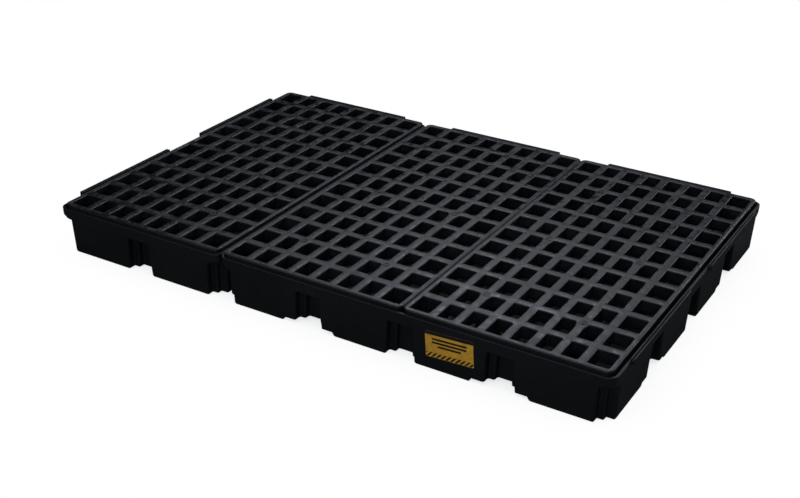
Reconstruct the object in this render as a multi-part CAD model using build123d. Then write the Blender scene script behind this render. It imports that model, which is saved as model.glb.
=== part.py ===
from build123d import *
import math
import os

# Six-drum, low-profile spill containment pallet. A two-drum sump and a four-drum sump stand rim to
# rim, three lift-out grates lie in them, and two bulkhead link fittings join them near the floor.
# Millimetres. +X runs along the long side (two-drum sump at -X), +Y to the back, +Z up.
# The origin is at the middle of the footprint, on the floor.

# ---------------------------------------------------------------- sumps
GAP = 1.0               # between the two sumps
TWO_W = 668.5           # two-drum sump, along X
FOUR_W = 1314.5         # four-drum sump, along X
SUMP_L = 1303.0         # both sumps, along Y
HALF_L = SUMP_L / 2

RIM_TOP = 155.5
SKIRT_LOW = 119.0       # underside of the rim skirt and roof of the wall recesses
LEDGE = 127.5           # the grates rest at this height
RIM_T = 8.0             # rim width
RIM_R = 28.0            # rim outer corner radius
RIM_R_LOW = 46.0        # the same at the skirt's underside, drawn in over the corner notches
RIM_BEND = 130.0        # height where the skirt's corners reach their full size
RIM_EDGE_R = 2.5        # rounded outer top edge of the rim
WALL_SET = 0.9          # walls stand this far inside the rim at the skirt's underside
WALL_T = 6.0
FLOOR_T = 6.0
DRAFT = 4.5             # how far the walls lean in between the skirt and the floor
DRAFT_SIDE = 8.0        # how far the recess cheeks move in the same height
FOOT_EDGE = 5.0         # height of the broken edge around the underside of the pods
FOOT_EDGE_IN = FOOT_EDGE * 0.6
POD_R = 7.0             # upright pod corners
POD_R_FOOT = POD_R - 3

RECESS_W = 80.0         # wall recess, at the skirt
RECESS_D = 26.0
RECESS_W2 = 38.0        # deeper middle part of the recess
RECESS_D2 = 46.0
RECESS_PITCH = 323.0
RECESS_Y = (-RECESS_PITCH, 0.0, RECESS_PITCH)   # recesses in the side walls
NOTCH_A = 45.0          # stepped corner notch: lengths along X
NOTCH_A2 = 25.0
NOTCH_B = 24.0          # and along Y
NOTCH_B2 = 42.0

CHANNEL_W = 192.0       # shallow channel under the four-drum sump, at the floor
CHANNEL_W_TOP = 175.0
CHANNEL_H = 14.0
CHANNEL_SKIN = 10.0     # extra width of the moulding over a channel, at the floor
CHANNEL_SKIN_TOP = 6.0

# ---------------------------------------------------------------- grates
SEAM_X = 332.0          # between the middle and right grates
GRATE_X = {"left": -655.0, "middle": SEAM_X - RECESS_PITCH, "right": SEAM_X + RECESS_PITCH}
GRATE_W = 643.0
GRATE_L = 1285.0
GRATE_R = 20.0
GRATE_TOP = 167.5
COL_PITCH = 76.2        # bars along Y
COL_BAR = 27.0
COL_REACH = 3           # bars on each side of the middle one
ROW_PITCH = 106.25      # bars along X
ROW_BAR = 29.0
ROW_REACH = 5
SIDE_BAR = 16.0
END_BAR = 20.0
CELL_R = 5.0
WEB_T = 5.0             # wall round each opening
DECK_T = 6.0            # top skin of the bars
GUSSET_W = 42.0         # lengthwise bar widened in front of a cross bar, over each column
GUSSET_L = 28.0

# ---------------------------------------------------------------- supports in the sumps
COLUMN_X = 2 * COL_PITCH                            # either side of each grate's middle
COLUMN_Y = (-4 * ROW_PITCH, 0.0, 4 * ROW_PITCH)
COLUMN_R_LOW = 42.0
COLUMN_R_TOP = 27.0
COLUMN_WALL_LOW = 6.5
COLUMN_WALL_TOP = 5.5
COLUMN_CAP = 8.0
SEAM_BLOCK_W = 138.0    # block under each end of the seam between two grates
SEAM_BLOCK_D = 119.0
SEAM_BLOCK_R = 8.0
SEAM_BLOCK_CAP = 9.0
SEAM_POST_Y = (-447.5, 447.5)   # small posts under the seam, further in than the blocks
SEAM_POST_R_LOW = 24.0
SEAM_POST_R_TOP = 15.0

# ---------------------------------------------------------------- locking tabs on the rim
TAB_L = 452.0
TAB_OUT = 10.5
TAB_IN = 2.5            # how far the inner ridge stands in over the rim
TAB_LOW = 148.0
TAB_TOP = 165.5
TAB_RIDGE = 3.8         # width of the ridge on each side of the groove
TAB_GROOVE = 5.5        # depth of the groove
TAB_RIDGE_R = 1.3
TAB_Y = 317.0
TAB_R = 4.0

# ---------------------------------------------------------------- bulkhead links
LINK_Y = (-RECESS_PITCH / 2, RECESS_PITCH / 2)      # midway between side recesses
LINK_Z = 44.0
LINK_TUBE_R = 22.95
LINK_BORE_R = 17.0
LINK_HOLE_R = 23.3
LINK_RING_R = 23.0      # bore of gaskets, seal and nut
LINK_PAD_R = 36.0
LINK_PAD_T = 17.0       # flat pad through the wall
SEAL_T = 3.0
PAD_SET = (SEAL_T - GAP) / 2    # the middle seal fills the space between the pads
GASKET_R = 32.0
SEAL_R = 34.0
FLANGE_R = 34.0         # to the corners of the hexagon
FLANGE_T = 8.0
NUT_T = 16.0
NUT_R = 29.0
NUT_COLLAR_R = 33.0
NUT_COLLAR_T = 3.0
NUT_LUGS = 6
LUG_W = 9.0
LUG_H = 14.0
LUG_AT_R = 27.0         # nut axis to the middle of a lug
TUBE_PAST_NUT = 5.5

# ---------------------------------------------------------------- label
LABEL_W = 155.0
LABEL_H = 85.0
LABEL_T = 0.6
LABEL_R = 3.0
LABEL_X = 496.7
LABEL_Z = 88.9          # middle of the label
LABEL_TILT = 3.0        # slightly askew, right end up, degrees
GLUE = 0.03

CUT = 5.0               # how far a cutter runs past the link pieces at each end

# ---------------------------------------------------------------- places in the pallet's frame
Y_SHIFT = -TAB_OUT / 2  # tabs stand out at the back but not the front, so all sits this far forward
TOTAL_W = TWO_W + GAP + FOUR_W
TWO_X = -TOTAL_W / 2 + TWO_W / 2
FOUR_X = TOTAL_W / 2 - FOUR_W / 2


def box(x0, x1, y0, y1, z0, z1):
    return Pos((x0 + x1) / 2, (y0 + y1) / 2, (z0 + z1) / 2) * Box(x1 - x0, y1 - y0, z1 - z0)


def link_cylinder(radius, x0, x1, y):
    """Cylinder along X at the height of the links."""
    return Pos((x0 + x1) / 2, y, LINK_Z) * Rot(0, 90, 0) * Cylinder(radius, abs(x1 - x0))


# ---------------------------------------------------------------- sump body
def pod_outline(width, recess_x, inset, cheek, radius):
    """Plan outline of the pods: faces moved in by inset, recess cheeks moved by cheek."""
    half_w = width / 2 - WALL_SET - inset
    half_l = HALF_L - WALL_SET - inset
    wide = RECESS_W / 2 + cheek
    deep = RECESS_W2 / 2 + cheek

    def corner(sx, sy):
        """Notch points, from the front or back face round to the side face."""
        steps = [(NOTCH_A, 0), (NOTCH_A, NOTCH_B), (NOTCH_A2, NOTCH_B), (NOTCH_A2, NOTCH_B2),
                 (0, NOTCH_B2)]
        return [(sx * (half_w - a), sy * (half_l - b)) for a, b in steps]

    def recesses(centres):
        """Recess points as (place along the wall, depth)."""
        steps = [(-wide, 0), (-wide, RECESS_D), (-deep, RECESS_D), (-deep, RECESS_D2),
                 (deep, RECESS_D2), (deep, RECESS_D), (wide, RECESS_D), (wide, 0)]
        return [(centre + along, depth) for centre in sorted(centres) for along, depth in steps]

    points = corner(-1, -1)[::-1]
    points += [(along, -half_l + depth) for along, depth in recesses(recess_x)]
    points += corner(1, -1)
    points += [(half_w - depth, along) for along, depth in recesses(RECESS_Y)]
    points += corner(1, 1)[::-1]
    points += [(along, half_l - depth) for along, depth in recesses(recess_x)][::-1]
    points += corner(-1, 1)
    points += [(-half_w + depth, along) for along, depth in recesses(RECESS_Y)][::-1]
    outline = Polygon(*points, align=None)
    return fillet(outline.vertices(), radius)


def pods(width, recess_x, *levels):
    """Straight-sided loft; each level is (height, face inset, cheek move, corner radius)."""
    sections = [Pos(0, 0, z) * pod_outline(width, recess_x, inset, cheek, radius)
                for z, inset, cheek, radius in levels]
    return loft(sections, ruled=True)


def rim_skirt(width):
    bend_in = WALL_SET * (RIM_TOP - RIM_BEND) / (RIM_TOP - SKIRT_LOW)
    levels = [(SKIRT_LOW, WALL_SET, RIM_R_LOW), (RIM_BEND, bend_in, RIM_R), (RIM_TOP, 0, RIM_R)]
    sections = [Pos(0, 0, z) * RectangleRounded(width - 2 * inset, SUMP_L - 2 * inset, radius)
                for z, inset, radius in levels]
    skirt = loft(sections, ruled=True)
    return fillet(skirt.faces().sort_by(Axis.Z)[-1].edges(), RIM_EDGE_R)


def channel(plane, centre, low_w, top_w, height, length):
    """Trapezoid bar on the floor, running both ways from the plane."""
    points = [(centre - low_w / 2, 0), (centre + low_w / 2, 0),
              (centre + top_w / 2, height), (centre - top_w / 2, height)]
    return extrude(plane * Polygon(*points, align=None), amount=length / 2, both=True)


def cone(x, y, low_r, top_r, height):
    return Pos(x, y, height / 2) * Cone(low_r, top_r, height)


def seam_block(x, end):
    """Solid block against the front (end -1) or back (end 1) wall, and the void inside it."""
    wall = HALF_L - WALL_SET
    y0, y1 = sorted((end * wall, end * (wall - SEAM_BLOCK_D)))
    block = box(x - SEAM_BLOCK_W / 2, x + SEAM_BLOCK_W / 2, y0, y1, 0, LEDGE)
    top_edges = block.faces().sort_by(Axis.Z)[-1].edges().filter_by(Axis.X).sort_by(Axis.Y)
    block = fillet(top_edges[-1 if end < 0 else 0], SEAM_BLOCK_R)   # edge towards the middle
    y0, y1 = sorted((end * (wall - RECESS_D2 - DRAFT - WALL_T),
                     end * (wall - SEAM_BLOCK_D + WALL_T)))
    half_w = SEAM_BLOCK_W / 2 - WALL_T
    return block, box(x - half_w, x + half_w, y0, y1, 0, LEDGE - SEAM_BLOCK_CAP)


def sump_body(width, grate_x, seam_x, channel_x, channel_y):
    recess_x = grate_x + seam_x     # front and back recesses
    foot_part = 1 - FOOT_EDGE / SKIRT_LOW
    shell = pods(width, recess_x,
                 (0.0, DRAFT + FOOT_EDGE_IN, DRAFT_SIDE + FOOT_EDGE_IN, POD_R_FOOT),
                 (FOOT_EDGE, DRAFT * foot_part, DRAFT_SIDE * foot_part, POD_R),
                 (SKIRT_LOW, 0.0, 0.0, POD_R))
    body = shell + rim_skirt(width)
    pocket_plan = RectangleRounded(width - 2 * RIM_T, SUMP_L - 2 * RIM_T, RIM_R - RIM_T)
    pocket = Pos(0, 0, LEDGE) * extrude(pocket_plan, 60)
    hollow = pods(width, recess_x,
                  (FLOOR_T, WALL_T + DRAFT, WALL_T + DRAFT_SIDE, POD_R),
                  (LEDGE + 0.5, WALL_T, WALL_T, POD_R))     # runs up into the pocket

    # what stands up in the hollow, and the voids open underneath
    channels = [(Plane.XZ, x, SUMP_L) for x in channel_x]
    channels += [(Plane.YZ, y, width) for y in channel_y]
    standing = [channel(plane, centre, CHANNEL_W + CHANNEL_SKIN, CHANNEL_W_TOP + CHANNEL_SKIN_TOP,
                        CHANNEL_H + FLOOR_T, length) for plane, centre, length in channels]
    voids = [channel(plane, centre, CHANNEL_W, CHANNEL_W_TOP, CHANNEL_H, length + 20)
             for plane, centre, length in channels]
    for middle in grate_x:
        for x in (middle - COLUMN_X, middle + COLUMN_X):
            for y in COLUMN_Y:
                standing.append(cone(x, y, COLUMN_R_LOW, COLUMN_R_TOP, LEDGE))
                voids.append(cone(x, y, COLUMN_R_LOW - COLUMN_WALL_LOW,
                                  COLUMN_R_TOP - COLUMN_WALL_TOP, LEDGE - COLUMN_CAP))
    for x in seam_x:
        for end in (-1, 1):
            block, void = seam_block(x, end)
            standing.append(block)
            voids.append(void)
        for y in SEAM_POST_Y:
            standing.append(cone(x, y, SEAM_POST_R_LOW, SEAM_POST_R_TOP, LEDGE))
    hollow -= standing
    body -= [hollow, pocket]
    body -= voids
    return body


def tab():
    """Locking tab along X. Outward is +Y, and y = 0 is the rim's outer face."""
    bar = box(-TAB_L / 2, TAB_L / 2, -TAB_IN, TAB_OUT, TAB_LOW, TAB_TOP)
    bar = fillet(bar.edges().filter_by(Axis.Z).group_by(Axis.Y)[-1], TAB_R)
    bar -= box(-TAB_L, TAB_L, -TAB_IN + TAB_RIDGE, TAB_OUT - TAB_RIDGE,
               TAB_TOP - TAB_GROOVE, TAB_TOP + 10)
    top_edges = bar.edges().filter_by(Axis.X).filter_by_position(
        Axis.Z, TAB_TOP - 0.1, TAB_TOP + 0.1)
    return fillet(top_edges, TAB_RIDGE_R)


def sump(centre_x, width, outer, grate_x, seam_x=(), channel_x=(), channel_y=()):
    """Whole sump. outer is the X direction (-1 or 1) away from the other sump.
    The x places are in the pallet's frame."""
    grate_x, seam_x, channel_x = [tuple(x - centre_x for x in places)
                                  for places in (grate_x, seam_x, channel_x)]
    tray = sump_body(width, grate_x, seam_x, channel_x, channel_y)
    pad_face = -outer * (width / 2 - PAD_SET)
    added = [Pos(x, HALF_L, 0) * tab() for x in grate_x]
    added += [Pos(outer * width / 2, y, 0) * Rot(0, 0, -90 * outer) * tab()
              for y in (-TAB_Y, TAB_Y)]
    added += [link_cylinder(LINK_PAD_R, pad_face, pad_face + outer * LINK_PAD_T, y)
              for y in LINK_Y]
    tray += added
    tray -= [link_cylinder(LINK_HOLE_R, pad_face - outer * CUT,
                           pad_face + outer * (LINK_PAD_T + CUT), y) for y in LINK_Y]
    return Pos(centre_x, Y_SHIFT, 0) * tray


# ---------------------------------------------------------------- grate
def spans(pitch, bar, reach, half, edge):
    """Clear spans between the bars, from one edge bar to the other."""
    ends = [-half + edge]
    for i in range(-reach, reach + 1):
        ends += [i * pitch - bar / 2, i * pitch + bar / 2]
    ends.append(half - edge)
    return list(zip(ends[::2], ends[1::2]))


def grate_opening(x0, x1, y0, y1):
    """Outline of one opening, its back corners cut off by the gussets that reach into it."""
    cell = Pos((x0 + x1) / 2, (y0 + y1) / 2) * RectangleRounded(x1 - x0, y1 - y0, CELL_R)
    for bar_y in COLUMN_Y:
        back = bar_y - ROW_BAR / 2
        if abs(y1 - back) > 1:
            continue
        for bar_x in (-COLUMN_X, COLUMN_X):
            for side, cell_x in ((-1, x1), (1, x0)):
                if abs(cell_x - (bar_x + side * COL_BAR / 2)) >= 1:
                    continue
                tip_x = bar_x + side * GUSSET_W / 2
                root_x = cell_x - side      # 1 mm inside the bar
                points = [(root_x, back - GUSSET_L - 1), (root_x, back + 1),
                          (tip_x, back + 1), (tip_x, back)]
                cell -= Polygon(*points[::-side], align=None)   # anticlockwise on both sides
    return cell.face().outer_wire()


def grate():
    height = GRATE_TOP - LEDGE
    openings = [grate_opening(x0, x1, y0, y1)
                for x0, x1 in spans(COL_PITCH, COL_BAR, COL_REACH, GRATE_W / 2, SIDE_BAR)
                for y0, y1 in spans(ROW_PITCH, ROW_BAR, ROW_REACH, GRATE_L / 2, END_BAR)]
    outline = RectangleRounded(GRATE_W, GRATE_L, GRATE_R).face().outer_wire()
    plate = Face(outline, openings)
    # hollow of the bars, open underneath
    core = Sketch()
    for i in range(-COL_REACH, COL_REACH + 1):
        core += Pos(i * COL_PITCH, 0) * Rectangle(COL_BAR - 2 * WEB_T, GRATE_L - 2 * END_BAR)
    for i in range(-ROW_REACH, ROW_REACH + 1):
        core += Pos(0, i * ROW_PITCH) * Rectangle(GRATE_W - 2 * SIDE_BAR, ROW_BAR - 2 * WEB_T)
    solid = extrude(plate, height, dir=(0, 0, 1))
    solid -= extrude(core, height - DECK_T, dir=(0, 0, 1))
    return Pos(0, 0, LEDGE) * solid


# ---------------------------------------------------------------- bulkhead link
def link_ring(radius, x0, x1, y):
    return link_cylinder(radius, x0, x1, y) - link_cylinder(LINK_RING_R, x0 - CUT, x1 + CUT, y)


def link_nut(x0, x1, y):
    """Lugged nut with a collar at its +X end."""
    nut = link_cylinder(NUT_R, x0, x1, y)
    for i in range(NUT_LUGS):
        turn = Rot(i * 360 / NUT_LUGS, 0, 0)
        lug = Pos(0, 0, LUG_AT_R) * Box(NUT_T, LUG_W, LUG_H)
        nut += Pos((x0 + x1) / 2, y, LINK_Z) * turn * lug
    nut += link_cylinder(NUT_COLLAR_R, x1 - NUT_COLLAR_T, x1, y)
    nut -= link_cylinder(LINK_RING_R, x0 - CUT, x1 + CUT, y)
    return nut


def link_fitting(nut_x, flange_x, y):
    """Hexagon flange in the four-drum sump, its tube running to -X past the nut's end at nut_x."""
    hexagon = Plane.YZ * RegularPolygon(FLANGE_R, 6)
    fitting = Pos(flange_x, y, LINK_Z) * extrude(hexagon, FLANGE_T)
    fitting += link_cylinder(LINK_TUBE_R, nut_x - TUBE_PAST_NUT, flange_x, y)
    fitting -= link_cylinder(LINK_BORE_R, nut_x - 30, flange_x + 40, y)
    return fitting


def link_parts(tag, y):
    """All pieces of one link; the x places run from the seal outwards on each side."""
    two_pad = TWO_X + TWO_W / 2 - PAD_SET
    two_inner = two_pad - LINK_PAD_T
    nut_face = two_inner - SEAL_T
    nut_end = nut_face - NUT_T
    four_pad = FOUR_X - FOUR_W / 2 + PAD_SET
    four_inner = four_pad + LINK_PAD_T
    flange_x = four_inner + SEAL_T
    return {
        f"link_fitting_{tag}": link_fitting(nut_end, flange_x, y),
        f"link_flange_gasket_{tag}": link_ring(GASKET_R, four_inner, flange_x, y),
        f"link_middle_seal_{tag}": link_ring(SEAL_R, two_pad, four_pad, y),
        f"link_nut_gasket_{tag}": link_ring(GASKET_R, nut_face, two_inner, y),
        f"link_nut_{tag}": link_nut(nut_end, nut_face, y),
    }


# ---------------------------------------------------------------- label
def front_label():
    """Label on the leaning front wall of the four-drum sump."""
    lean = math.degrees(math.atan2(DRAFT, SKIRT_LOW))
    wall_y = -HALF_L + WALL_SET + Y_SHIFT + DRAFT * (SKIRT_LOW - LABEL_Z) / SKIRT_LOW
    plate = extrude(Plane.XZ * RectangleRounded(LABEL_W, LABEL_H, LABEL_R), LABEL_T)  # towards -Y
    turn = Rot(lean, 0, 0) * Rot(0, -LABEL_TILT, 0)
    return Pos(LABEL_X, wall_y, LABEL_Z) * turn * Pos(0, -GLUE, 0) * plate


# ---------------------------------------------------------------- all parts
four_grates = (GRATE_X["middle"], GRATE_X["right"])
parts = {
    "two_drum_sump": sump(TWO_X, TWO_W, -1, (GRATE_X["left"],)),
    "four_drum_sump": sump(FOUR_X, FOUR_W, 1, four_grates, seam_x=(SEAM_X,),
                           channel_x=four_grates, channel_y=(-RECESS_PITCH, RECESS_PITCH)),
}
one_grate = grate()
for place, x in GRATE_X.items():
    parts[f"grate_{place}"] = Pos(x, Y_SHIFT, 0) * one_grate
for tag, y in zip(("front", "back"), LINK_Y):
    parts.update(link_parts(tag, y + Y_SHIFT))
parts["front_label"] = front_label()

os.makedirs("parts", exist_ok=True)
for name, shape in parts.items():
    export_step(shape, f"parts/{name}.step")
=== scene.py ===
# A low spill pallet: three moulded black grates side by side over their sumps, with a yellow
# label on the front. +Z is up, the front faces -Y and the grates' long sides run along Y.
# Sizes are in millimetres and are turned into metres as vertices are made.
import math
from collections import namedtuple

import bmesh
import bpy
from mathutils import Matrix, Vector


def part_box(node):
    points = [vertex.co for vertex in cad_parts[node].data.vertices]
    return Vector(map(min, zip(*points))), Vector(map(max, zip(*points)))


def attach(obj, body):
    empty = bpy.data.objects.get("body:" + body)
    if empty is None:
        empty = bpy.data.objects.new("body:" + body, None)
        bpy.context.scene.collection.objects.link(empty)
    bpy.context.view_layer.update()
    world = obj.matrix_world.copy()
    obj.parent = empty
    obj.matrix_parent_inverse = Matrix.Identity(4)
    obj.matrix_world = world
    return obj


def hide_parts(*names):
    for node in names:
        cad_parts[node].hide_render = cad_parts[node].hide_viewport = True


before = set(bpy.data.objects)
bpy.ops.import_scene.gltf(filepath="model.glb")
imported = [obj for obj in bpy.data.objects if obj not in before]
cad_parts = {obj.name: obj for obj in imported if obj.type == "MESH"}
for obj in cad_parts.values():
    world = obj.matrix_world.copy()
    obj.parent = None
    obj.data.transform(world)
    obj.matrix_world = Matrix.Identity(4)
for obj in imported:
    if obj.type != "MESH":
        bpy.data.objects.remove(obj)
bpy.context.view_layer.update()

MM = 0.001
scene = bpy.context.scene

# The four corners of a rectangle as signs of x and y, anticlockwise.
CORNERS = ((1, 1), (-1, 1), (-1, -1), (1, -1))


# ------------------------------------------------------------------ geometry helpers
def between(start, end, t):
    return start[0] + (end[0] - start[0]) * t, start[1] + (end[1] - start[1]) * t


def on_circle(centre, radius, angle):
    return centre[0] + radius * math.cos(angle), centre[1] + radius * math.sin(angle)


def new_object(name, vertices, faces, materials, face_materials=None, weld=None):
    """A linked mesh object; weld is the distance in metres within which vertices are joined."""
    mesh = bpy.data.meshes.new(name)
    mesh.from_pydata(vertices, [], faces)
    if face_materials:
        mesh.polygons.foreach_set("material_index", face_materials)
    for material in materials:
        mesh.materials.append(material)
    if weld:
        bm = bmesh.new()
        bm.from_mesh(mesh)
        bmesh.ops.remove_doubles(bm, verts=bm.verts, dist=weld)
        bmesh.ops.dissolve_degenerate(bm, dist=1e-7, edges=bm.edges)
        bm.to_mesh(mesh)
        bm.free()
    ob = bpy.data.objects.new(name, mesh)
    scene.collection.objects.link(ob)
    return ob


# ------------------------------------------------------------------ shader helpers
def scaled(colour, factor, lift=0.0):
    return tuple(c * factor + lift for c in colour)


class Shader:
    """Short calls for writing the node tree of a material or world."""

    def __init__(self, owner, output):
        owner.use_nodes = True
        self.nodes = owner.node_tree.nodes
        self.links = owner.node_tree.links
        self.nodes.clear()
        self.output = self.add(output)

    def put(self, socket, value):
        """Link a socket to another, or set its value; colours are given as RGB."""
        if isinstance(value, bpy.types.NodeSocket):
            self.links.new(value, socket)
        elif socket.type == "RGBA":
            socket.default_value = (*value, 1.0)
        else:
            socket.default_value = value

    def add(self, kind, inputs=None, **properties):
        node = self.nodes.new("ShaderNode" + kind)
        for key, value in properties.items():
            setattr(node, key, value)
        for key, value in (inputs or {}).items():
            self.put(node.inputs[key], value)
        return node

    def ramp(self, factor, stops):
        node = self.add("ValToRGB", {0: factor})
        elements = node.color_ramp.elements
        while len(elements) < len(stops):
            elements.new(0.5)
        for element, (position, colour) in zip(elements, stops):
            element.position = position
            element.color = (*colour, 1.0)
        return node.outputs[0]

    def split_by_ray(self, seen, lighting):
        """Show one shader to the camera and the other to every other ray."""
        is_camera = self.add("LightPath").outputs["Is Camera Ray"]
        mix = self.add("MixShader", {0: is_camera, 1: lighting.outputs[0], 2: seen.outputs[0]})
        self.put(self.output.inputs[0], mix.outputs[0])


class Plastic(Shader):
    """A Principled material textured in object coordinates."""

    def __init__(self, name):
        self.material = bpy.data.materials.new(name)
        super().__init__(self.material, "OutputMaterial")
        self.coordinates = self.add("TexCoord").outputs["Object"]

    def noise(self, scale, detail, roughness, stretch=None):
        vector = self.coordinates
        if stretch:
            vector = self.add("Mapping", {"Vector": vector, "Scale": stretch}).outputs[0]
        inputs = {"Scale": scale, "Detail": detail, "Roughness": roughness, "Vector": vector}
        return self.add("TexNoise", inputs).outputs["Fac"]

    def calc(self, operation, a, b, clamp=False):
        # The third input is idle in two-input operations.
        inputs = {0: a, 1: b, 2: 0.0}
        return self.add("Math", inputs, operation=operation, use_clamp=clamp).outputs[0]

    def span(self, value, start, end, to_start=0.0, to_end=1.0):
        """Map the range start..end to to_start..to_end."""
        inputs = {"From Min": start, "From Max": end, "To Min": to_start, "To Max": to_end,
                  "Value": value}
        return self.add("MapRange", inputs).outputs[0]

    def mix(self, factor, a, b):
        # Inputs 6 and 7 are the node's two colours.
        return self.add("Mix", {0: factor}, data_type="RGBA").outputs[2] if False else \
            self._mix_colours(factor, a, b)

    def _mix_colours(self, factor, a, b):
        node = self.add("Mix", data_type="RGBA", blend_type="MIX")
        for index, value in ((0, factor), (6, a), (7, b)):
            self.put(node.inputs[index], value)
        return node.outputs[2]

    def bump(self, height, strength, distance, under=None):
        """A bump layer, laid over an earlier one if that is given."""
        inputs = {"Strength": strength, "Distance": distance, "Height": height}
        if under:
            inputs["Normal"] = under
        return self.add("Bump", inputs).outputs[0]

    def finish(self, colour, roughness, normal, tint=(1.0, 1.0, 1.0)):
        inputs = {"Base Color": colour, "Roughness": roughness, "Normal": normal,
                  "Specular Tint": tint}
        self.put(self.output.inputs[0], self.add("BsdfPrincipled", inputs).outputs[0])
        return self.material


# ------------------------------------------------------------------ materials
def polyethylene(name, dark, light, roughness, scuff_and_sheen, wear_and_sheen):
    """Moulded polyethylene: blotches, fine grain, and scratches and pale wear on flat tops, partly
    painted highlight.

    The scuff amount is how far wear and scratches, partly painted highlight, show in the colour;
    the wear amount scales their relief, their roughness and the paleness of worn patches with
    their painted sheen.
    """
    s = Plastic(name)
    blotch = s.noise(scale=5.0, detail=5.0, roughness=0.6)
    patch = s.noise(scale=38.0, detail=4.0, roughness=0.6)
    speck = s.noise(scale=420.0, detail=3.0, roughness=0.7)
    fine = s.noise(scale=1300.0, detail=2.0, roughness=0.6)
    scratches_x = s.noise(scale=60.0, detail=3.0, roughness=0.7, stretch=(1.0, 16.0, 1.0))
    scratches_y = s.noise(scale=60.0, detail=3.0, roughness=0.7, stretch=(16.0, 1.0, 1.0))
    scratches = s.calc("MAXIMUM", s.span(scratches_x, start=0.64, end=0.74),
                       s.span(scratches_y, start=0.66, end=0.76))
    normal = s.add("NewGeometry").outputs["Normal"]
    flat = s.span(s.add("SeparateXYZ", {0: normal}).outputs[2], start=0.75, end=0.98)

    # colour: blotches, then pale specks, then worn patches and scratches on up-facing tops, partly
    # painted highlight
    colour = s.mix(s.span(blotch, start=0.35, end=0.7), dark, light)
    specks = s.calc("MULTIPLY", s.span(speck, start=0.60, end=0.78), 0.35)
    colour = s.mix(specks, colour, scaled(light, factor=2.6))
    # Paler patches on up-facing tops: part real wear, part painted highlight.
    wear_and_painted_sheen = s.calc("MULTIPLY", s.span(patch, start=0.45, end=0.75), flat)
    wear_and_painted_sheen = s.calc("MULTIPLY", wear_and_painted_sheen, scuff_and_sheen)
    colour = s.mix(wear_and_painted_sheen, colour, scaled(light, factor=2.4, lift=0.004 * wear_and_sheen * wear_and_sheen))
    # Paler scratches on up-facing tops: part real scratching, part painted glint.
    scratches_and_painted_glint = s.calc("MULTIPLY", s.calc("MULTIPLY", scratches, flat), 0.35 * scuff_and_sheen)
    colour = s.mix(scratches_and_painted_glint, colour, scaled(light, factor=3.2, lift=0.008))

    # roughness: varies with blotches and patches, lower in scratches
    gloss = s.calc(
        "ADD",
        s.span(blotch, start=0.3, end=0.75, to_start=roughness - 0.06, to_end=roughness + 0.06),
        s.span(patch, start=0.3, end=0.7, to_start=-0.05 * wear_and_sheen, to_end=0.06 * wear_and_sheen))
    gloss = s.calc("ADD", gloss, s.calc("MULTIPLY", scratches, -0.10 * wear_and_sheen), clamp=True)

    # relief from broad waves down to fine grain, distances in metres
    swell = s.noise(scale=7.0, detail=3.0, roughness=0.5)
    pits = s.noise(scale=110.0, detail=4.0, roughness=0.7)
    relief = s.bump(swell, strength=0.5, distance=0.0016)
    relief = s.bump(patch, strength=0.25, distance=0.0006 * wear_and_sheen, under=relief)
    relief = s.bump(pits, strength=0.45, distance=0.00030 * wear_and_sheen, under=relief)
    relief = s.bump(speck, strength=0.35, distance=0.00016, under=relief)
    relief = s.bump(fine, strength=0.30, distance=0.00006, under=relief)
    return s.finish(colour, gloss, relief, tint=(0.79, 0.87, 1.0))


def plain_plastic(name, base, roughness, scale):
    """A nearly even plastic; scale is that of its coarse mottling."""
    s = Plastic(name)
    coarse = s.noise(scale=scale, detail=4.0, roughness=0.6)
    fine = s.noise(scale=scale * 12, detail=3.0, roughness=0.6)
    colour = s.mix(s.span(coarse, start=0.3, end=0.7),
                   scaled(base, factor=0.8), scaled(base, factor=1.25))
    gloss = s.span(fine, start=0.3, end=0.7, to_start=roughness - 0.07, to_end=roughness + 0.07)
    relief = s.bump(coarse, strength=0.3, distance=0.0004)
    relief = s.bump(fine, strength=0.3, distance=0.0002, under=relief)
    return s.finish(colour, gloss, relief)


# The scuff and wear amounts below also set how much painted highlight lies on the up-facing tops.
GRATE_PLASTIC = polyethylene(
    "grate_polyethylene", dark=(0.0050, 0.0060, 0.0078), light=(0.0090, 0.0102, 0.0125),
    roughness=0.37, scuff_and_sheen=1.0, wear_and_sheen=3.0)
SUMP_PLASTIC = polyethylene(
    "sump_polyethylene", dark=(0.0040, 0.0047, 0.0056), light=(0.0066, 0.0075, 0.0086),
    roughness=0.50, scuff_and_sheen=0.3, wear_and_sheen=1.0)
FITTING_PLASTIC = plain_plastic(
    "fitting_plastic", base=(0.035, 0.036, 0.040), roughness=0.42, scale=90.0)
GASKET_RUBBER = plain_plastic(
    "gasket_rubber", base=(0.012, 0.012, 0.012), roughness=0.75, scale=160.0)
LABEL_YELLOW = plain_plastic(
    "label_yellow", base=(0.76, 0.42, 0.045), roughness=0.38, scale=60.0)
LABEL_BLACK = plain_plastic(
    "label_black", base=(0.010, 0.010, 0.011), roughness=0.40, scale=60.0)

# ------------------------------------------------------------------ grate dimensions
# Bars spaced along one axis: half the grate's size, the bars' pitch, how many lie on each
# side of the middle one, their width and that of the bar at the grate's edge.
Bars = namedtuple("Bars", "half pitch reach width edge_width")
BARS_X = Bars(half=643.0 / 2, pitch=76.2, reach=3, width=27.0, edge_width=16.0)
BARS_Y = Bars(half=1285.0 / 2, pitch=106.25, reach=5, width=29.0, edge_width=20.0)

GRATE_CORNER = 20.0     # radius of the grate's corners in plan
OPENING_CORNER = 5.0    # radius of the openings' corners in plan
TOP, FOOT = 167.5, 127.5
DECK_UNDERSIDE = TOP - 6.0
CORNER_STEPS = 6
SIDE_POINTS = 2         # extra points on each straight side
INSET = 6.5             # where the edge bar's bead starts, in from the grate's edge
CROWN = 0.75            # fall of the bar tops away from their middle lines
CROWN_END = 150.0       # height at which the crown has faded out of the bars' sides

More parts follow.
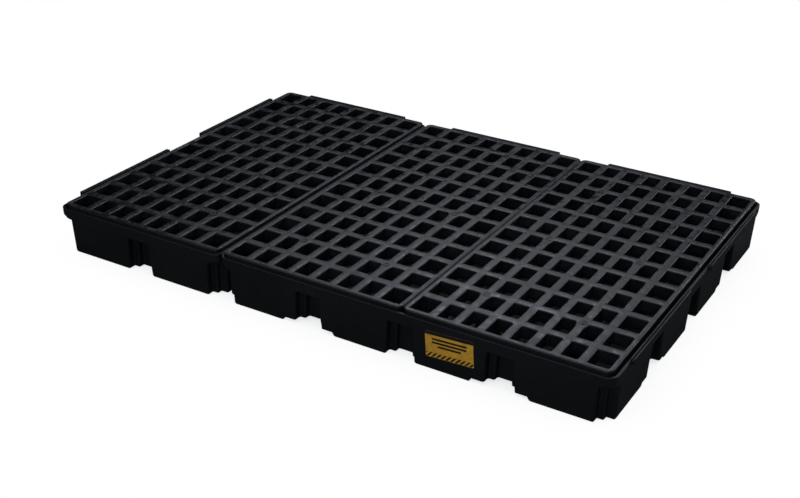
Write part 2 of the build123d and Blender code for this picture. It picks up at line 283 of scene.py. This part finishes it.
# The support columns stand under crossings of the bars.
SUPPORT_X = (-2 * BARS_X.pitch, 2 * BARS_X.pitch)
SUPPORT_Y = (-4 * BARS_Y.pitch, 0.0, 4 * BARS_Y.pitch)

GUSSET_LENGTH = 28.0    # reach in front of the cross bar
GUSSET_WIDENING = 7.5   # added to each side of the bar
GUSSET_FULL, GUSSET_END = 21.0, 44.0   # distances from the bar's middle: full shift, no shift

# Where the deck's rings lie between a cell's boundary (0) and its opening's lip (1).
DECK_FRACTIONS = (0.0, 0.22, 0.44, 0.63, 0.80, 0.92, 1.0)


def rounded_edge(radius, steps=4):
    """A quarter round from the top face down to the side: (inset, z)."""
    angles = [math.radians(90 * step / steps) for step in range(steps + 1)]
    return [(radius * (1 - math.sin(a)), TOP - radius * (1 - math.cos(a))) for a in angles]


# Section of an opening's wall, from lip to deck underside: (distance out from opening, z).
WALL_PROFILE = rounded_edge(2.8) + [
    (0.0, 150.0), (0.0, FOOT + 1.0), (0.8, FOOT), (4.2, FOOT), (5.0, FOOT + 1.0),
    (5.0, DECK_UNDERSIDE)]

# Section of the edge bar, over its grooved top and down to the deck's underside:
# (distance in from the grate's edge, z).
EDGE_PROFILE = [
    (INSET, TOP), (5.6, TOP - 0.1), (5.0, TOP - 0.75), (4.5, TOP - 0.75), (3.9, TOP - 0.1),
    *rounded_edge(3.0),
    (0.0, 148.0), (0.3, FOOT + 1.2), (1.3, FOOT), (4.2, FOOT), (5.0, FOOT + 1.0),
    (INSET, DECK_UNDERSIDE)]

# Moulding mark over a support column, a low ring round a dimple's button:
# (radius, height above TOP), closed by a centre point.
MARK_PROFILE = ((11.0, -0.3), (10.6, 0.8), (9.9, 1.3), (9.2, 0.8), (8.9, 0.06),
                (3.4, 0.05), (3.0, 0.8), (2.2, 1.2))
MARK_CENTRE_HEIGHT = 1.3
MARK_SEGMENTS = 28
MARK_OFFSET = 1.0       # the mark's centre in front of the cross bar's front side


# ------------------------------------------------------------------ grate outlines
def opening_spans(bars):
    """The gaps between bars along one axis."""
    sides = [-bars.half + bars.edge_width]
    for i in range(-bars.reach, bars.reach + 1):
        sides += [i * bars.pitch - bars.width / 2, i * bars.pitch + bars.width / 2]
    sides.append(bars.half - bars.edge_width)
    return list(zip(sides[::2], sides[1::2]))


def cell_spans(gaps, half):
    """Cells meet on the middle lines of the bars and end at the grate's edges."""
    middles = [(a[1] + b[0]) / 2 for a, b in zip(gaps, gaps[1:])]
    return list(zip([-half] + middles, middles + [half]))


def corner_centres(opening):
    (x0, x1), (y0, y1) = opening
    run_x = (x1 - x0) / 2 - OPENING_CORNER
    run_y = (y1 - y0) / 2 - OPENING_CORNER
    return [((x0 + x1) / 2 + sx * run_x, (y0 + y1) / 2 + sy * run_y) for sx, sy in CORNERS]


def add_side(points, end):
    """Extra points from the last point towards end, leaving both ends out."""
    start = points[-1]
    for i in range(1, SIDE_POINTS + 1):
        points.append(between(start, end, i / (SIDE_POINTS + 1)))


def opening_loop(opening, grow):
    """The opening's rounded rectangle, moved outwards by grow."""
    centres = corner_centres(opening)
    radius = OPENING_CORNER + grow
    points = []
    for corner, centre in enumerate(centres):
        for step in range(CORNER_STEPS + 1):
            angle = math.radians(90 * corner + 90 * step / CORNER_STEPS)
            points.append(on_circle(centre, radius, angle))
        add_side(points, on_circle(centres[(corner + 1) % 4], radius, angle))
    return points


def cell_side(bound, half):
    """Where the cell's deck ends on one side, and whether that is the grate's edge."""
    if abs(bound) == half:
        return math.copysign(half - INSET, bound), True
    return bound, False


def cell_loop(opening, cell):
    """The cell's boundary, point for point with opening_loop, and for each point whether
    it lies on the grate's edge."""
    sides_x, sides_y = ({-1: cell_side(low, bars.half), 1: cell_side(high, bars.half)}
                        for (low, high), bars in zip(cell, (BARS_X, BARS_Y)))
    centres = corner_centres(opening)
    half = CORNER_STEPS // 2
    points, on_edge = [], []
    for corner, (sx, sy) in enumerate(CORNERS):
        x, edge_x = sides_x[sx]
        y, edge_y = sides_y[sy]
        centre_x, centre_y = centres[corner]
        next_x, next_y = centres[(corner + 1) % 4]
        # Even corners start on a side along Y and end on one along X; odd ones the reverse.
        if corner % 2 == 0:
            first, last, side_end = (x, centre_y), (centre_x, y), (next_x, y)
            first_edge, last_edge = edge_x, edge_y
        else:
            first, last, side_end = (centre_x, y), (x, centre_y), (x, next_y)
            first_edge, last_edge = edge_y, edge_x
        for step in range(CORNER_STEPS + 1):
            if edge_x and edge_y and 0 < step < CORNER_STEPS:
                # the grate's own rounded corner
                angle = math.radians(90 * corner + 90 * (step - 1) / (CORNER_STEPS - 2))
                centre = (sx * (BARS_X.half - GRATE_CORNER), sy * (BARS_Y.half - GRATE_CORNER))
                points.append(on_circle(centre, GRATE_CORNER - INSET, angle))
                on_edge.append(True)
            elif step <= half:
                points.append(between(first, (x, y), step / half))
                on_edge.append(first_edge or (step == half and last_edge))
            else:
                points.append(between((x, y), last, (step - half) / (CORNER_STEPS - half)))
                on_edge.append(last_edge)
        add_side(points, side_end)
        on_edge += [last_edge] * SIDE_POINTS
    return points, on_edge


def outward(x, y):
    """Unit direction out of the grate at a point near its edge."""
    past_x = abs(x) - (BARS_X.half - GRATE_CORNER)
    past_y = abs(y) - (BARS_Y.half - GRATE_CORNER)
    if past_x > 0 and past_y > 0:
        length = math.hypot(past_x, past_y)
        return math.copysign(past_x / length, x), math.copysign(past_y / length, y)
    if abs(x) - BARS_X.half > abs(y) - BARS_Y.half:
        return math.copysign(1.0, x), 0.0
    return 0.0, math.copysign(1.0, y)


def gusset(x, y):
    """Widen the bars over the support columns just in front of the cross bar."""
    half_bar = BARS_Y.width / 2
    for support_y in SUPPORT_Y:
        ahead = support_y - half_bar - y
        if not -half_bar < ahead < GUSSET_LENGTH:
            continue
        if ahead >= 0:
            strength = 1 - ahead / GUSSET_LENGTH
        else:
            t = 1 + ahead / half_bar
            strength = t * t * (3 - 2 * t)
        for support_x in SUPPORT_X:
            offset = x - support_x
            distance = abs(offset)
            if 0 < distance < GUSSET_END:
                share = min(1.0, distance / (BARS_X.width / 2))
                if distance >= GUSSET_FULL:
                    share *= (GUSSET_END - distance) / (GUSSET_END - GUSSET_FULL)
                return x + math.copysign(GUSSET_WIDENING * strength * share, offset), y
    return x, y


def off_middle(value, bars):
    """Distance from the nearest bar's middle line, as a share of its half width, at most 1.
    Beyond the regular bars it is measured from the edge bar's bead."""
    nearest = bars.pitch * max(-bars.reach, min(bars.reach, round(value / bars.pitch)))
    share = abs(value - nearest) / (bars.width / 2)
    if share > 1.6:
        share = abs(bars.half - INSET - abs(value)) / (bars.edge_width - INSET)
    return min(1.0, share)


def crown(x, y):
    """How far the slightly rounded bar tops have fallen at a point."""
    return CROWN * off_middle(x, BARS_X) ** 2 * off_middle(y, BARS_Y) ** 2


# ------------------------------------------------------------------ grate meshes
def cell_rings(opening, boundary):
    """Rings from the cell's boundary over the lip, down the wall and back under the deck."""
    lip = opening_loop(opening, WALL_PROFILE[0][0])
    rings = []
    for t in DECK_FRACTIONS:
        ring = [between(outer, inner, t) for outer, inner in zip(boundary, lip)]
        rings.append([(x, y, TOP - crown(x, y)) for x, y in ring])
    for grow, z in WALL_PROFILE[1:]:
        fade = max(0.0, (z - CROWN_END) / (TOP - CROWN_END))
        rings.append([(x, y, z - crown(x, y) * fade) for x, y in opening_loop(opening, grow)])
    rings.append([(x, y, DECK_UNDERSIDE) for x, y in boundary])
    return [[(*gusset(x, y), z) for x, y, z in ring] for ring in rings]


def edge_section(x, y):
    """The edge bar's section at a boundary point."""
    out_x, out_y = outward(x, y)
    return [(x + out_x * (INSET - inset), y + out_y * (INSET - inset), z)
            for inset, z in EDGE_PROFILE]


def add_mark(bm, x, y):
    """A moulding mark on the deck, centred on x, y."""
    previous = None
    for radius, height in MARK_PROFILE:
        ring = []
        for i in range(MARK_SEGMENTS):
            px, py = on_circle((x, y), radius, 2 * math.pi * i / MARK_SEGMENTS)
            ring.append(bm.verts.new((px * MM, py * MM, (TOP + height) * MM)))
        if previous:
            for i in range(MARK_SEGMENTS):
                j = (i + 1) % MARK_SEGMENTS
                bm.faces.new((previous[i], previous[j], ring[j], ring[i]))
        previous = ring
    centre = bm.verts.new((x * MM, y * MM, (TOP + MARK_CENTRE_HEIGHT) * MM))
    for i in range(MARK_SEGMENTS):
        bm.faces.new((previous[i], previous[(i + 1) % MARK_SEGMENTS], centre))


def build_grate(name, centre_x, centre_y):
    vertices, faces = [], []

    def add_rows(rows, closed):
        """Join rows of points with quads."""
        base, count = len(vertices), len(rows[0])
        for row in rows:
            vertices.extend(((x + centre_x) * MM, (y + centre_y) * MM, z * MM)
                            for x, y, z in row)
        for start in range(base, base + (len(rows) - 1) * count, count):
            for i in range(count if closed else count - 1):
                j = (i + 1) % count
                faces.append((start + i, start + j, start + count + j, start + count + i))

    gaps_x, gaps_y = opening_spans(BARS_X), opening_spans(BARS_Y)
    for gap_x, cell_x in zip(gaps_x, cell_spans(gaps_x, BARS_X.half)):
        for gap_y, cell_y in zip(gaps_y, cell_spans(gaps_y, BARS_Y.half)):
            boundary, on_edge = cell_loop((gap_x, gap_y), (cell_x, cell_y))
            add_rows(cell_rings((gap_x, gap_y), boundary), closed=True)
            for i in range(len(boundary)):
                j = (i + 1) % len(boundary)
                if on_edge[i] and on_edge[j]:
                    add_rows([edge_section(*boundary[i]), edge_section(*boundary[j])],
                             closed=False)

    ob = new_object(name, vertices, faces, [GRATE_PLASTIC], weld=1e-5)
    bm = bmesh.new()
    bm.from_mesh(ob.data)
    bmesh.ops.recalc_face_normals(bm, faces=bm.faces)
    for x in SUPPORT_X:
        for y in SUPPORT_Y:
            add_mark(bm, x + centre_x, y - BARS_Y.width / 2 - MARK_OFFSET + centre_y)
    bm.to_mesh(ob.data)
    bm.free()
    ob.data.shade_smooth()
    ob.data.set_sharp_from_angle(angle=math.radians(50.0))
    normals = ob.modifiers.new("normals", "WEIGHTED_NORMAL")
    normals.mode = "FACE_AREA"
    normals.keep_sharp = True
    normals.weight = 50
    return ob


for node in ("grate_left", "grate_middle", "grate_right"):
    low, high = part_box(node)
    grate = build_grate(node + "_moulding", (low.x + high.x) / 2 / MM, (low.y + high.y) / 2 / MM)
    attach(grate, node)
    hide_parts(node)


# ------------------------------------------------------------------ pieces kept from the CAD
def cad_material(name):
    if name.endswith("_sump"):
        return SUMP_PLASTIC
    if "gasket" in name or "seal" in name:
        return GASKET_RUBBER
    if name.startswith("link_"):
        return FITTING_PLASTIC
    if name == "front_label":
        return LABEL_YELLOW
    return None


for name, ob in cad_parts.items():
    material = cad_material(name)
    if material:
        ob.data.materials.clear()
        ob.data.materials.append(material)
        ob.data.polygons.foreach_set("material_index", [0] * len(ob.data.polygons))

# ------------------------------------------------------------------ label
# Label coordinates: x across, z up, -y out of its face.
LABEL_WIDTH, LABEL_HEIGHT, LABEL_THICKNESS, LABEL_CORNER = 155.0, 85.0, 0.6, 3.0
LABEL_LEAN = math.atan2(4.5, 119.0)    # about X
LABEL_TURN = math.radians(-3.0)        # about Y
LABEL_BACK = -0.03
PRINT_RAISE, PRINT_SINK = 0.06, 0.05   # the print's front and back, out of and into the face
HEADER_HEIGHT = 10.5
BAR_HALF_HEIGHT = 3.2
LABEL_BARS = ((19.5, 112.0), (8.0, 112.0), (-3.5, 76.0))   # middle z, width
STRIPE_PITCH, STRIPE_BAND = 15.5, 16.0
STRIPE_MARGIN = (0.985, 0.975)         # the stripes' outline as a share of the label's


def clip(polygon, side):
    """The part of a polygon where side(point) is not negative."""
    kept = []
    for i, start in enumerate(polygon):
        end = polygon[(i + 1) % len(polygon)]
        a, b = side(start), side(end)
        if a >= 0:
            kept.append(start)
        if (a >= 0) != (b >= 0):
            kept.append(between(start, end, a / (a - b)))
    return kept


def label_outline():
    corner_x, corner_z = LABEL_WIDTH / 2 - LABEL_CORNER, LABEL_HEIGHT / 2 - LABEL_CORNER
    return [on_circle((sx * corner_x, sz * corner_z), LABEL_CORNER,
                      math.radians(90 * corner + 15 * step))
            for corner, (sx, sz) in enumerate(CORNERS) for step in range(7)]


def label_stripes(outline):
    """Diagonal stripes along the foot, cut to a slightly smaller outline."""
    inner = [(x * STRIPE_MARGIN[0], z * STRIPE_MARGIN[1]) for x, z in outline]
    foot = -LABEL_HEIGHT / 2
    x = -LABEL_WIDTH / 2 - STRIPE_BAND
    while x < LABEL_WIDTH / 2 + STRIPE_BAND:
        right = x + STRIPE_PITCH / 2
        stripe = [(x, foot), (right, foot),
                  (right + STRIPE_BAND, foot + STRIPE_BAND), (x + STRIPE_BAND, foot + STRIPE_BAND)]
        for a, b in zip(inner, inner[1:] + inner[:1]):
            stripe = clip(stripe, lambda p: ((b[0] - a[0]) * (p[1] - a[1])
                                             - (b[1] - a[1]) * (p[0] - a[0])))
        if stripe:
            yield stripe
        x += STRIPE_PITCH


def build_label():
    """A yellow plate with a black header, three plain bars and a striped foot."""
    low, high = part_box("front_label")
    centre = (low + high) / 2 / MM
    shift = LABEL_THICKNESS / 2 - LABEL_BACK
    place = (Matrix.Translation((centre.x, centre.y + shift * math.cos(LABEL_LEAN),
                                 centre.z + shift * math.sin(LABEL_LEAN)))
             @ Matrix.Rotation(LABEL_LEAN, 4, "X") @ Matrix.Rotation(LABEL_TURN, 4, "Y"))
    vertices, faces, face_materials = [], [], []

    def add_plate(outline, back, front, material):
        """A closed thin plate; its outline runs anticlockwise seen from the front."""
        base, count = len(vertices), len(outline)
        for y in (front, back):
            vertices.extend(tuple((place @ Vector((x, y, z))) * MM) for x, z in outline)
        faces.append(tuple(range(base, base + count)))
        faces.append(tuple(range(base + 2 * count - 1, base + count - 1, -1)))
        for i in range(count):
            j = (i + 1) % count
            faces.append((base + i, base + count + i, base + count + j, base + j))
        face_materials.extend([material] * (count + 2))

    outline = label_outline()
    face = LABEL_BACK - LABEL_THICKNESS
    add_plate(outline, LABEL_BACK, face, material=0)

    prints = [clip(outline, lambda p: p[1] - (LABEL_HEIGHT / 2 - HEADER_HEIGHT))]
    for z, width in LABEL_BARS:
        left, right, bottom, top = -width / 2, width / 2, z - BAR_HALF_HEIGHT, z + BAR_HALF_HEIGHT
        prints.append([(left, bottom), (right, bottom), (right, top), (left, top)])
    prints.extend(label_stripes(outline))
    for shape in prints:
        add_plate(shape, face + PRINT_SINK, face - PRINT_RAISE, material=1)

    ob = new_object("front_label_print", vertices, faces, [LABEL_YELLOW, LABEL_BLACK],
                    face_materials)
    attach(ob, "four_drum_module")
    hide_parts("front_label")


build_label()


# ------------------------------------------------------------------ stage, light and camera
def stage_floor():
    """White to the camera with soft contact shade, dark grey to reflections and light."""
    material = bpy.data.materials.new("floor")
    s = Shader(material, "OutputMaterial")
    occlusion = s.add("AmbientOcclusion", {"Distance": 0.22}, samples=6)
    shade = s.ramp(occlusion.outputs["AO"], (
        (0.0, (0.70, 0.71, 0.73)), (0.40, (0.96, 0.962, 0.966)), (0.80, (1.0, 1.0, 1.0))))
    s.split_by_ray(seen=s.add("Emission", {"Color": shade, "Strength": 1.0}),
                   lighting=s.add("BsdfDiffuse", {"Color": (0.16, 0.165, 0.175)}))
    reach, z = 40.0, -0.0005   # metres
    corners = [(-reach, -reach, z), (reach, -reach, z), (reach, reach, z), (-reach, reach, z)]
    new_object("stage_floor", corners, [(0, 1, 2, 3)], [material])


def build_world():
    """White to the camera, a faint cool fill for everything else."""
    scene.world = bpy.data.worlds.new("world")
    s = Shader(scene.world, "OutputWorld")
    s.split_by_ray(
        seen=s.add("Background", {"Color": (1, 1, 1), "Strength": 1.0}),
        lighting=s.add("Background", {"Color": (0.93, 0.96, 1.0), "Strength": 0.02}))


LIGHT_AIM = Vector((0.1, 0.0, 0.1))
LIGHT_DISTANCE = 4.2
LIGHT_COLOUR = (0.96, 0.98, 1.0)
# name, azimuth from +Y towards -X and elevation in degrees, watts, width and height in metres
SOFTBOXES = (
    ("back_right_low", -35, 22, 34.0, 1.8, 1.0),
    ("back_left_mid", 15, 42, 17.2, 1.8, 1.2),
    ("left_back_mid", 40, 42, 14.2, 1.8, 1.2),
    ("back_left_high", 20, 62, 16.0, 2.2, 1.6),
    ("right_side", -95, 35, 7.5, 2.6, 1.3),
    ("front_low", -160, 25, 34.0, 2.6, 1.3),
    ("front_left", 150, 30, 19.1, 2.6, 1.3),
)


def add_softbox(name, azimuth, elevation, power, width, height):
    a, e = math.radians(azimuth), math.radians(elevation)
    direction = Vector((-math.sin(a) * math.cos(e), math.cos(a) * math.cos(e), math.sin(e)))
    light = bpy.data.lights.new(name, "AREA")
    light.shape = "RECTANGLE"
    light.size, light.size_y = width, height
    light.energy = power
    light.color = LIGHT_COLOUR
    ob = bpy.data.objects.new(name, light)
    scene.collection.objects.link(ob)
    position = LIGHT_AIM + LIGHT_DISTANCE * direction
    ob.location = position
    ob.rotation_mode = "QUATERNION"
    ob.rotation_quaternion = (LIGHT_AIM - position).to_track_quat("-Z", "Y")
    ob.visible_camera = False


def add_camera():
    data = bpy.data.cameras.new("camera")
    data.sensor_fit = "HORIZONTAL"
    data.sensor_width = 36.0
    data.lens = 56.041
    data.clip_start, data.clip_end = 0.05, 200.0
    camera = bpy.data.objects.new("camera", data)
    scene.collection.objects.link(camera)
    right = Vector((0.856630, 0.515796, 0.011841)).normalized()
    look = Vector((-0.454081, 0.764632, -0.457329)).normalized()
    up = right.cross(look).normalized()
    right = look.cross(up).normalized()   # exactly square to the other two
    turn = Matrix((right, up, -look)).transposed().to_4x4()
    camera.matrix_world = Matrix.Translation((1.90202, -3.30005, 1.94231)) @ turn
    scene.camera = camera


stage_floor()
build_world()
for softbox in SOFTBOXES:
    add_softbox(*softbox)
add_camera()
scene.view_settings.view_transform = "Standard"
scene.view_settings.look = "None"
